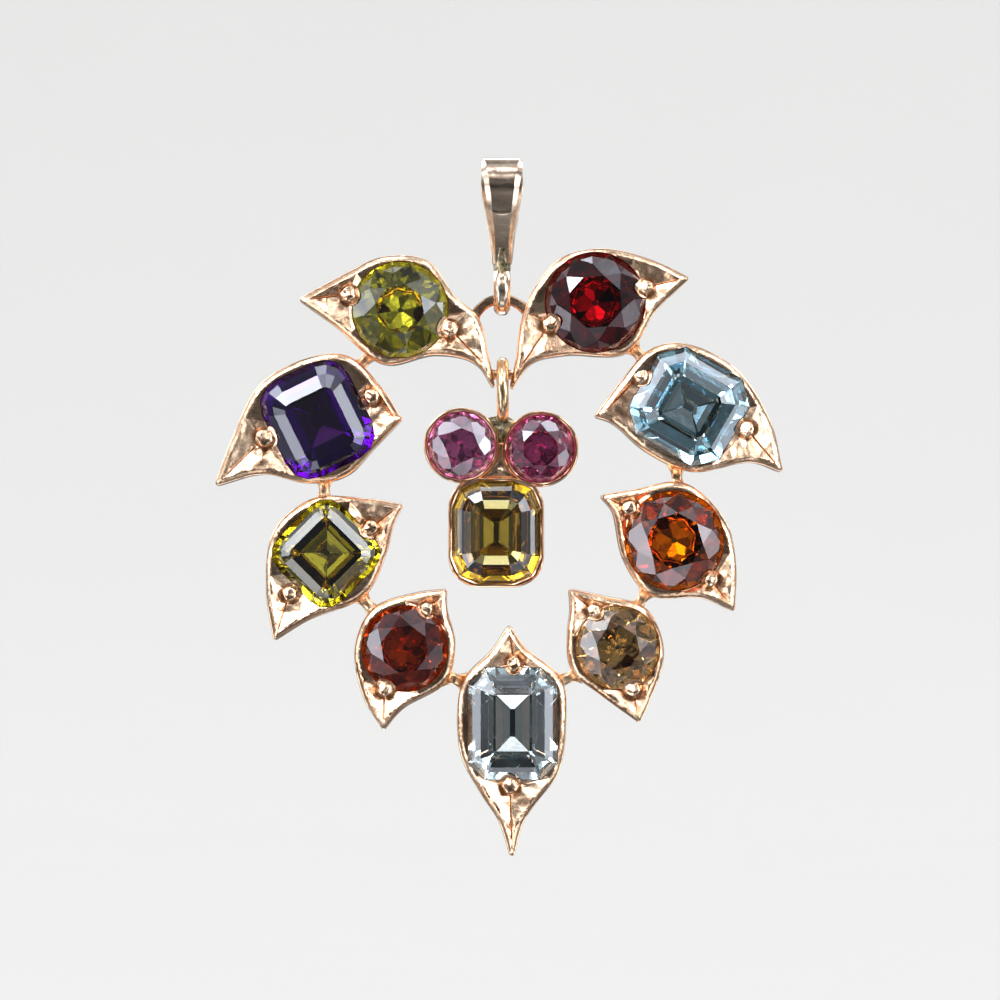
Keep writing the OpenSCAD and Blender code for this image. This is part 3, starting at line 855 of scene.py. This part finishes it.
def build_bail_ring():
    """The bail's half-round ring, with a polished flat round its outside."""
    half = RING_W / 2
    start = math.degrees(math.acos(1 - RING_T / half))
    section = [(0.02, -0.8 * half)]
    for k in range(2 * RING_ARC + 1):
        u, x = turned((half, 0), start * (k / RING_ARC - 1))
        section.append((min(max(RING_T - half + u, 0.06), RING_T - RING_FLAT), x))
    section.append((0.02, 0.8 * half))
    rings = []
    for a in angles(RING_SIDES):
        ring = []
        for u, x in section:
            r = RING_IN_R + u
            wide = 1 + 0.03 * rough((math.cos(a), x, math.sin(a)), 1, 3)
            ring.append((x * wide, RING_Y + r * math.cos(a), r * math.sin(a)))
        rings.append(ring)
    shell = Shell()
    shell.hoop(rings)
    shell.piece("bail_ring", *BAIL, gold_bail, crease=35)


def build_bail_solder():
    """The solder that closes the strap's foot on the ring."""
    rings = []
    for y, w, d in SOLDER_ROWS:
        ring = []
        for a in angles(SOLDER_SIDES):
            f = squared(a) * (1 + 0.07 * rough((math.cos(a), y, math.sin(a)), 0.35, 5))
            ring.append((w * f * math.cos(a), y, d * f * math.sin(a)))
        rings.append(ring)
    shell = Shell()
    shell.tube(rings)
    shell.piece("bail_solder", *BAIL, green_solder, crease=50)


# ---- drop

BEZEL_NAMES = ["bezel_left", "bezel_right", "bezel_lower"]
BEZEL_SIDES = 120
BEZEL_CORNER_STEPS = 12
# A bezel's rows: the way from the ledge or from the recess to the outside, and height
BEZEL_LEDGE_ROWS = [(0, -BEZEL_FRONT + 0.1), (0.12, -BEZEL_FRONT)]
BEZEL_ROWS = [
    (0.88, -BEZEL_FRONT), (1, -BEZEL_FRONT + 0.14), (1, -0.5), (1, 0.5),
    (1, BEZEL_FRONT - 0.3), (0.86, BEZEL_FRONT - 0.1), (0.62, BEZEL_FRONT),
    (0.3, BEZEL_FRONT + 0.01), (0.06, BEZEL_FRONT - 0.05), (-0.04, BEZEL_FRONT - 0.16),
]

PILLOW_STEP = 0.13
WEB_STEP = 0.15
# How far past their stones' girdles the settings bound the web
WEB_GROWN = 0.2
# A small pip of solder on the web: x, y and height
PIP = (-0.15, -22.95, 0.14)
SOLDER_TOP = [(0.62, -19.02), (0.3, -18.9), (-0.3, -18.86), (-0.8, -18.95)]

DROP_RING_SIDES = 72
DROP_WIRE_SIDES = 24


def ray_points(line, centre, n):
    """Where n rays from the centre cross a closed line."""
    a = as_array(line) - as_array([centre])
    way = np.roll(a, -1, 0) - a
    out = []
    for turn in angles(n):
        d = np.array((math.cos(turn), math.sin(turn)))
        slant = cross(way, d)
        t = -cross(a, d) / np.where(abs(slant) < TINY, TINY, slant)
        p = a + way * t[:, None]
        reach = p[:, 0] * d[0] + p[:, 1] * d[1]
        hits = reach[(t >= -1e-9) & (t < 1 + 1e-9) & (reach > 0)]
        out.append(centre + Vector(d) * float(hits.max()))
    return out


def bezel_line(s, wall):
    """A drop setting's outside, wall mm past its stone's girdle."""
    if s.corner == 0:
        return stone_outline(s, -wall)
    return [v2(s.centre) + v2(p)
            for p in cut_rectangle(s.w, s.h, s.corner, BEZEL_CORNER_STEPS, -wall)]


def build_bezels():
    """The drop's three settings."""
    for number, s in enumerate(DROP_STONES):
        centre = v2(s.centre)
        seat, foot = seat_of(s, BEZEL_FRONT)
        out = ray_points(bezel_line(s, STONE_GAP + BEZEL_T), centre, BEZEL_SIDES)
        hole = ray_points(stone_outline(s, -RECESS_GAP), centre, BEZEL_SIDES)
        ledge = [to_ledge(s, p) for p in hole]
        rings = []
        for start, rows in ((ledge, BEZEL_LEDGE_ROWS), (hole, BEZEL_ROWS + [(0, seat)])):
            for part, z in rows:
                ring = []
                for a, b in zip(start, out):
                    p = a.lerp(b, part)
                    jog = 0.03 * rough((p.x, p.y, z), 1.3, number + 11) if part > 0.2 else 0
                    lift = 0.04 * rough((p.x, p.y, 0), 1.6, number + 15) if z > 1.2 else 0
                    q = p + (p - centre).normalized() * jog
                    ring.append((q.x, q.y, z + lift))
                rings.append(ring)
        rings.append(lifted(ledge, foot))
        shell = Shell()
        shell.hoop(rings)
        shell.piece(BEZEL_NAMES[number], *DROP, gold_drop, crease=32)


def pillow(shell, line, edge, middle, seed, reach=0.6, lumps=0.05, pip=None):
    """A plate whose front and back swell from edge to middle half thickness."""
    loose = grid_points(line, PILLOW_STEP, seed)
    keep = inside(loose, line) & (distance(loose, line) > 0.06)
    drawn = line + kept(loose, keep)
    points, _, faces, *_ = delaunay_2d_cdt(drawn, [], [list(range(len(line)))], 1, MESH_NEAR)
    high = []
    for p, away in zip(points, distance(points, line)):
        part = min(away / reach, 1)
        z = edge + (middle - edge) * math.sqrt(part * (2 - part))
        if away > 0.01:
            z += lumps * rough((p.x, p.y, 0), 0.45, seed)
            if pip:
                z += pip[2] * math.exp(-((p.x - pip[0]) ** 2 + (p.y - pip[1]) ** 2) / 0.02)
        high.append((p.x, p.y, z))
    for f in faces:
        shell.face(*(high[v] for v in f))
        shell.face(*((high[v][0], high[v][1], -high[v][2]) for v in reversed(f)))
    shell.band(lifted(line, -edge), lifted(line, edge))


def arc(centre, r, start, end, n=14):
    """Points round a centre from one angle to another, both in degrees."""
    return [centre + turned((r, 0), start + (end - start) * k / n) for k in range(n + 1)]


def build_web():
    """The web that fills the corner between the drop's settings, and its solder."""
    left, right, lower = (v2(s.centre) for s in DROP_STONES)
    r1, r2 = DROP_STONES[0].w + WEB_GROWN, DROP_STONES[1].w + WEB_GROWN
    foot = lower.y + DROP_STONES[2].h + WEB_GROWN
    low1, low2 = (math.degrees(math.asin((foot - c.y) / r)) for c, r in ((left, r1), (right, r2)))
    shell = Shell()
    line = divided([*arc(right, r2, 180 - low2, 170), *arc(left, r1, 10, low1)], WEB_STEP)
    pillow(shell, line, 0.95, 1.16, 3, pip=PIP)
    shell.piece("drop_web", *DROP, gold_drop, crease=40)

    shell = Shell()
    sides = [*arc(left, r1, 48, 0, 8), *arc(right, r2, 180, 132, 8)]
    line = divided([*sides, *map(Vector, SOLDER_TOP)], WEB_STEP)
    pillow(shell, line, 0.8, 1.1, 8, reach=0.5, lumps=0.1)
    shell.piece("drop_solder", *DROP, green_solder, crease=50)


def build_drop_ring():
    """The drop's upright ring of round wire."""
    rings = []
    for a in angles(DROP_RING_SIDES):
        up, back = math.cos(a), math.sin(a)
        ring = []
        for b in angles(DROP_WIRE_SIDES):
            thick = DROP_WIRE_R * (1 + 0.03 * rough((up, back, math.cos(b)), 0.6, 2))
            r = DROP_RING_R + thick * math.cos(b)
            x = DROP_RING[0] + thick * math.sin(b) + 0.03 * rough((up, back, 0), 1, 9)
            ring.append((x, DROP_RING[1] + r * up, r * back))
        rings.append(ring)
    shell = Shell()
    shell.hoop(rings)
    shell.piece("drop_ring", *DROP, gold_ring, crease=60)


# ---- materials

ROSE = (0.86, 0.53, 0.34)
ROSE_PALE = (0.92, 0.66, 0.46)
BROWN = (0.32, 0.115, 0.04)
# How wide the corners are that gather dirt, in mm
DIRT_REACH = 0.9
# The tint of the stones' reflections
SKY = (0.84, 0.88, 1)
# Index of the stones' outer polish, which adds to what their facets reflect
POLISH = 1.6
# The depth of stone, in mm, that lets a stone's stated colour through
COLOUR_DEPTH = 6
# node: material, share of red, green and blue let through, index
GEMS = {
    "stone_upper_left": ("olive_round", (0.82, 0.78, 0.10), 1.95),
    "stone_upper_right": ("garnet_round", (0.42, 0.008, 0.018), 1.9),
    "stone_left": ("amethyst_cushion", (0.15, 0.010, 0.36), 1.7),
    "stone_right": ("aqua_octagon", (0.59, 0.87, 1.0), 1.9),
    "stone_mid_left": ("olive_cushion", (0.70, 0.61, 0.06), 1.8),
    "stone_mid_right": ("orange_round", (1.0, 0.29, 0.005), 1.95),
    "stone_low_left": ("rust_round", (0.64, 0.09, 0.006), 1.9),
    "stone_low_right": ("champagne_round", (1.0, 0.67, 0.30), 2.0),
    "stone_bottom": ("ice_emerald_cut", (0.84, 0.96, 1.0), 1.8),
    "drop_stone_left": ("pink_round_left", (0.88, 0.20, 0.50), 1.95),
    "drop_stone_right": ("pink_round_right", (0.76, 0.10, 0.32), 1.95),
    "drop_stone_lower": ("golden_cushion", (0.70, 0.48, 0.06), 1.8),
}


class Nodes:
    """A short way to write the node tree of a material or a world."""

    def __init__(self, owner, place="Object", out="OutputMaterial"):
        owner.use_nodes = True
        self.tree = owner.node_tree
        self.tree.nodes.clear()
        self.out = self.add(out)
        self.place = self.add("TexCoord").outputs[place]

    def add(self, kind, inputs=None, **settings):
        """A node, whose inputs are values or other nodes' sockets."""
        node = self.tree.nodes.new("ShaderNode" + kind)
        for key, value in settings.items():
            setattr(node, key, value)
        for key, value in (inputs or {}).items():
            socket = node.inputs[key]
            if isinstance(value, bpy.types.NodeSocket):
                self.tree.links.new(value, socket)
            else:
                socket.default_value = value
        return node

    def finish(self, shader, socket="Surface"):
        """A shader as the tree's own output."""
        self.tree.links.new(shader.outputs[0], self.out.inputs[socket])

    def noise(self, size, detail, harsh=0.5, stretch=(1, 1, 1), shift=0.0):
        """Noise with features about size mm wide, from 0 to 1."""
        place = self.add("Mapping", {
            "Vector": self.place, "Scale": stretch, "Location": (shift, shift, shift)})
        return self.add("TexNoise", {
            "Vector": place.outputs[0], "Scale": 1 / (size * MM), "Detail": detail,
            "Roughness": harsh}).outputs["Fac"]

    def ramp(self, value, low, high, to_low=0.0, to_high=1.0):
        """A value's range from low to high stretched to another."""
        return self.add("MapRange", {
            "Value": value, "From Min": low, "From Max": high,
            "To Min": to_low, "To Max": to_high}).outputs[0]

    def mix(self, part, a, b):
        """Colour a, or as much of b as part says."""
        return self.add("Mix", {"Factor": part, 6: a, 7: b}, data_type="RGBA").outputs[2]

    def math(self, kind, a, b, c=0.5):
        """A reckoning with two or three values."""
        return self.add("Math", {0: a, 1: b, 2: c}, operation=kind).outputs[0]

    def bump(self, height, strength, depth, normal=None):
        """Bumps depth mm deep."""
        inputs = {"Height": height, "Strength": strength, "Distance": depth * MM}
        if normal:
            inputs["Normal"] = normal
        return self.add("Bump", inputs).outputs[0]


def gold(name, body, pale, tarnish, soot=0.7, smooth=0.14, hammer=0.02, open_dirt=0.0):
    """Worn metal: two shades, dirt in the corners, scratches and dents. soot is the
    dirt's strength, smooth the least roughness, hammer the dents' depth in mm, and
    open_dirt the dirt's share outside the corners."""
    material = bpy.data.materials.new(name)
    n = Nodes(material)
    broad, fine = n.noise(2.2, 3), n.noise(0.35, 4, 0.6)
    colour = n.mix(n.ramp(broad, 0.38, 0.66), (*body, 1), (*pale, 1))
    colour = n.mix(n.ramp(fine, 0.5, 0.75, 0, 0.35), colour, (*body, 1))
    # dirt
    hidden = n.add("AmbientOcclusion", {"Distance": DIRT_REACH * MM}, samples=6).outputs["AO"]
    dirt = n.math("MULTIPLY", n.ramp(hidden, 0.85, 0.3, open_dirt, 1),
                  n.ramp(n.noise(0.6, 4, 0.65, shift=0.3), 0.3, 0.62))
    dirt = n.math("MULTIPLY", dirt, soot)
    colour = n.mix(dirt, colour, (*tarnish, 1))
    # scratches, in two directions
    scratches = n.noise(0.05, 2, 0.5, (1, 1, 0.06))
    across = n.noise(0.06, 2, 0.5, (0.05, 0.6, 1), 0.7)
    lines = n.math("ADD", n.ramp(scratches, 0.3, 0.75), n.ramp(across, 0.35, 0.8))
    roughness = n.ramp(broad, 0.3, 0.7, smooth, smooth + 0.1)
    roughness = n.math("ADD", roughness, n.ramp(lines, 0.4, 1.6, -0.03, 0.07))
    roughness = n.math("ADD", roughness, n.math("MULTIPLY", dirt, 0.3))
    # dents
    normal = n.bump(n.noise(0.9, 2), 1.0, hammer * 2.2)
    normal = n.bump(n.noise(0.28, 3), 1.0, hammer * 0.35, normal)
    normal = n.bump(lines, 0.5, 0.0022, normal)
    n.finish(n.add("BsdfPrincipled", {
        "Base Color": colour, "Metallic": 1.0, "Roughness": roughness, "Normal": normal}))
    return material


def gem(name, through, ior):
    """A worn stone, which lets this share of red, green and blue through."""
    material = bpy.data.materials.new(name)
    n = Nodes(material)
    loss = [-math.log(max(c, 1e-4)) / (COLOUR_DEPTH * MM) for c in through]
    density = max(loss)
    keep = [1 - c / density for c in loss]
    smudge = n.noise(1.1, 4, 0.6)
    pits = n.noise(0.16, 3, 0.7, shift=0.2)
    roughness = n.math("ADD", n.ramp(smudge, 0.45, 0.8, 0, 0.05), n.ramp(pits, 0.68, 0.8, 0, 0.12))
    normal = n.bump(n.noise(0.8, 2, shift=0.5), 0.6, 0.006)
    normal = n.bump(n.ramp(pits, 0.7, 0.82), 0.3, 0.004, normal)
    n.finish(n.add("BsdfPrincipled", {
        "Base Color": n.mix(n.ramp(smudge, 0.4, 0.7), (1, 1, 1, 1), (0.97, 0.97, 0.97, 1)),
        "Roughness": roughness, "IOR": ior, "Transmission Weight": 1.0, "Specular Tint": (*SKY, 1),
        "Coat Weight": 1.0, "Coat Roughness": 0.04, "Coat IOR": POLISH, "Normal": normal}))
    n.finish(n.add("VolumeAbsorption", {"Color": (*keep, 1), "Density": density}), "Volume")
    return material


gold_heart = gold("rose_gold_heart", ROSE, ROSE_PALE, BROWN)
gold_drop = gold("rose_gold_drop", ROSE, ROSE_PALE, BROWN, hammer=0.012)
gold_bail = gold("pale_gold_bail", (0.88, 0.66, 0.50), (0.93, 0.76, 0.60), BROWN, hammer=0.008)
gold_ring = gold("yellow_gold_ring", (0.86, 0.60, 0.36), (0.92, 0.72, 0.46), BROWN,
                 smooth=0.15, hammer=0.006)
gold_solder = gold("solder_gold", (0.84, 0.52, 0.31), (0.90, 0.64, 0.42), (0.42, 0.15, 0.05),
                   soot=0.9, smooth=0.22, hammer=0.03)
green_solder = gold("solder_green", (0.60, 0.47, 0.28), (0.84, 0.72, 0.52), (0.035, 0.035, 0.015),
                    soot=1.0, smooth=0.2, hammer=0.07, open_dirt=1.0)

for node, (name, through, ior) in GEMS.items():
    frame["nodes"][node].data.materials[0] = gem(name, through, ior)

for number in range(len(LEAVES)):
    build_leaf(number)
build_links()
build_loop()
build_strap()
build_bail_ring()
build_bail_solder()
build_bezels()
build_web()
build_drop_ring()

# ---- camera, stage and lights
# Lengths from here on are in metres.

PHOTO_W = 75 * MM
CAMERA_AWAY = 0.32
SENSOR_W = 36
MIDDLE = Vector((-0.15 * MM, 0, -25.2 * MM))
camera_data = bpy.data.cameras.new("camera")
camera_data.sensor_width = SENSOR_W
camera_data.lens = SENSOR_W * (CAMERA_AWAY - FRONT * MM) / PHOTO_W
camera_data.clip_start = 0.01
camera = linked("camera", camera_data)
camera.location = MIDDLE + Vector((0, -CAMERA_AWAY, 0))
camera.rotation_euler = (math.radians(90), 0, 0)
scene.camera = camera

PAPER = (0.76, 0.75, 0.73)
PAPER_LIT = (0.35, 0.345, 0.335)
FLOOR_SIDES = 96
FLOOR_BEND_STEPS = 16

# Bright panes of the room, as seen from the pendant: the turn round the line to the
# camera from the right, the angle off it, the half width, in degrees, and brightness
PANES = [
    (122, 46, 13, 4.2), (205, 49, 12, 3.3), (25, 50, 12, 3.4), (300, 46, 8, 1.2), (75, 43, 8, 2.2),
    (142, 65, 12, 4.3), (175, 67, 10, 3.0), (228, 63, 9, 2.2), (57, 63, 12, 3.6), (4, 67, 10, 3.0),
    (335, 60, 9, 2.0), (272, 64, 9, 1.3), (100, 71, 11, 3.4),
    (140, 125, 20, 3.1), (40, 120, 18, 2.9), (268, 128, 16, 1.9), (200, 115, 12, 2.2),
    (335, 118, 13, 2.3), (90, 145, 9, 1.5),
]
# Half the width of a pane's soft edge, in degrees
PANE_EDGE = 1.5


def build_bowl():
    """A pale floor that curves up into a low wall all round."""
    floor, radius, bend, wall = -0.085, 0.75, 0.35, 0.55
    profile = [(0.001, floor), (radius - bend, floor)]
    for k in range(1, FLOOR_BEND_STEPS + 1):
        a = math.radians(90 * k / FLOOR_BEND_STEPS)
        profile.append((radius - bend + bend * math.sin(a), floor + bend - bend * math.cos(a)))
    profile.append((radius, floor + bend + wall))
    sides = FLOOR_SIDES
    points = [(r * math.cos(a), r * math.sin(a), z) for r, z in profile for a in angles(sides)]
    faces = [list(range(sides))]
    for row in range(len(profile) - 1):
        for k in range(sides):
            low, high, j = row * sides, (row + 1) * sides, (k + 1) % sides
            faces.append([low + k, high + k, high + j, low + j])
    mesh = bpy.data.meshes.new("floor")
    mesh.from_pydata(points, [], faces)
    mesh.shade_smooth()
    material = bpy.data.materials.new("floor_paper")
    n = Nodes(material)
    paper = n.mix(n.noise(40, 2), (*PAPER, 1), (*[c * 0.97 for c in PAPER], 1))
    lit = n.add("BsdfDiffuse", {"Color": (*PAPER_LIT, 1)})
    glow = n.add("Emission", {"Color": paper, "Strength": 0.52})
    pale = n.add("AddShader", {0: lit.outputs[0], 1: glow.outputs[0]})
    # only the camera sees it, not the metal and the stones
    clear = n.add("BsdfTransparent")
    seen = n.add("LightPath").outputs["Is Camera Ray"]
    n.finish(n.add("MixShader", {0: seen, 1: clear.outputs[0], 2: pale.outputs[0]}))
    mesh.materials.append(material)
    linked("floor", mesh)


def soft_light(name, place, size, power, tint):
    """A rectangular light that faces the pendant."""
    data = bpy.data.lights.new(name, "AREA")
    data.shape = "RECTANGLE"
    data.size, data.size_y = size
    data.energy = power
    data.color = tint
    light = linked(name, data)
    light.location = place
    light.rotation_euler = (Vector(place) - MIDDLE).to_track_quat("Z", "Y").to_euler()


def build_world():
    """A dim room with bright panes, dark where the camera stands."""
    world = bpy.data.worlds.new("studio")
    n = Nodes(world, "Generated", "OutputWorld")
    way = n.add("SeparateXYZ", {0: n.place}).outputs
    light = n.add("LightPath").outputs
    # darker round the camera and below, in patches
    front = n.ramp(way["Y"], -0.94, -0.78, 0.13, 0.64)
    level = n.math("MULTIPLY", front, n.ramp(way["Z"], -0.7, 0.6, 0.4, 1))
    walls = n.add("TexNoise", {"Vector": n.place, "Scale": 2.9, "Detail": 1.0}).outputs["Fac"]
    level = n.math("MULTIPLY", level, n.ramp(walls, 0.47, 0.53, 0.3, 1.45))
    # straight behind, dark through the stones but bright in the flat backs
    behind = n.math("MULTIPLY_ADD", light["Is Reflection Ray"], 1.6, 0.1)
    level = n.math("MULTIPLY", level, n.ramp(way["Y"], 0.35, 0.93, 1, behind))
    for turn, off, half, bright in PANES:
        turn, off = math.radians(turn), math.radians(off)
        aim = (math.sin(off) * math.cos(turn), -math.cos(off), math.sin(off) * math.sin(turn))
        near = n.add("VectorMath", {0: n.place, 1: aim}, operation="DOT_PRODUCT").outputs["Value"]
        edge = [math.cos(math.radians(half + soft)) for soft in (PANE_EDGE, -PANE_EDGE)]
        level = n.math("ADD", level, n.ramp(near, *edge, 0, bright))
    dim = n.add("Background", {"Color": (0.93, 0.965, 1, 1), "Strength": level})
    pale = n.add("Background", {"Color": (*PAPER, 1), "Strength": 0.95})
    n.finish(n.add("MixShader", {
        0: light["Is Camera Ray"], 1: dim.outputs[0], 2: pale.outputs[0]}))
    scene.world = world


build_bowl()
build_world()
soft_light("key", (-0.2, -0.28, 0.24), (0.15, 0.15), 0.3, (1, 0.98, 0.95))
soft_light("side", (0.34, -0.2, 0.04), (0.08, 0.2), 0.2, (0.97, 0.98, 1))
scene.view_settings.view_transform = "Standard"
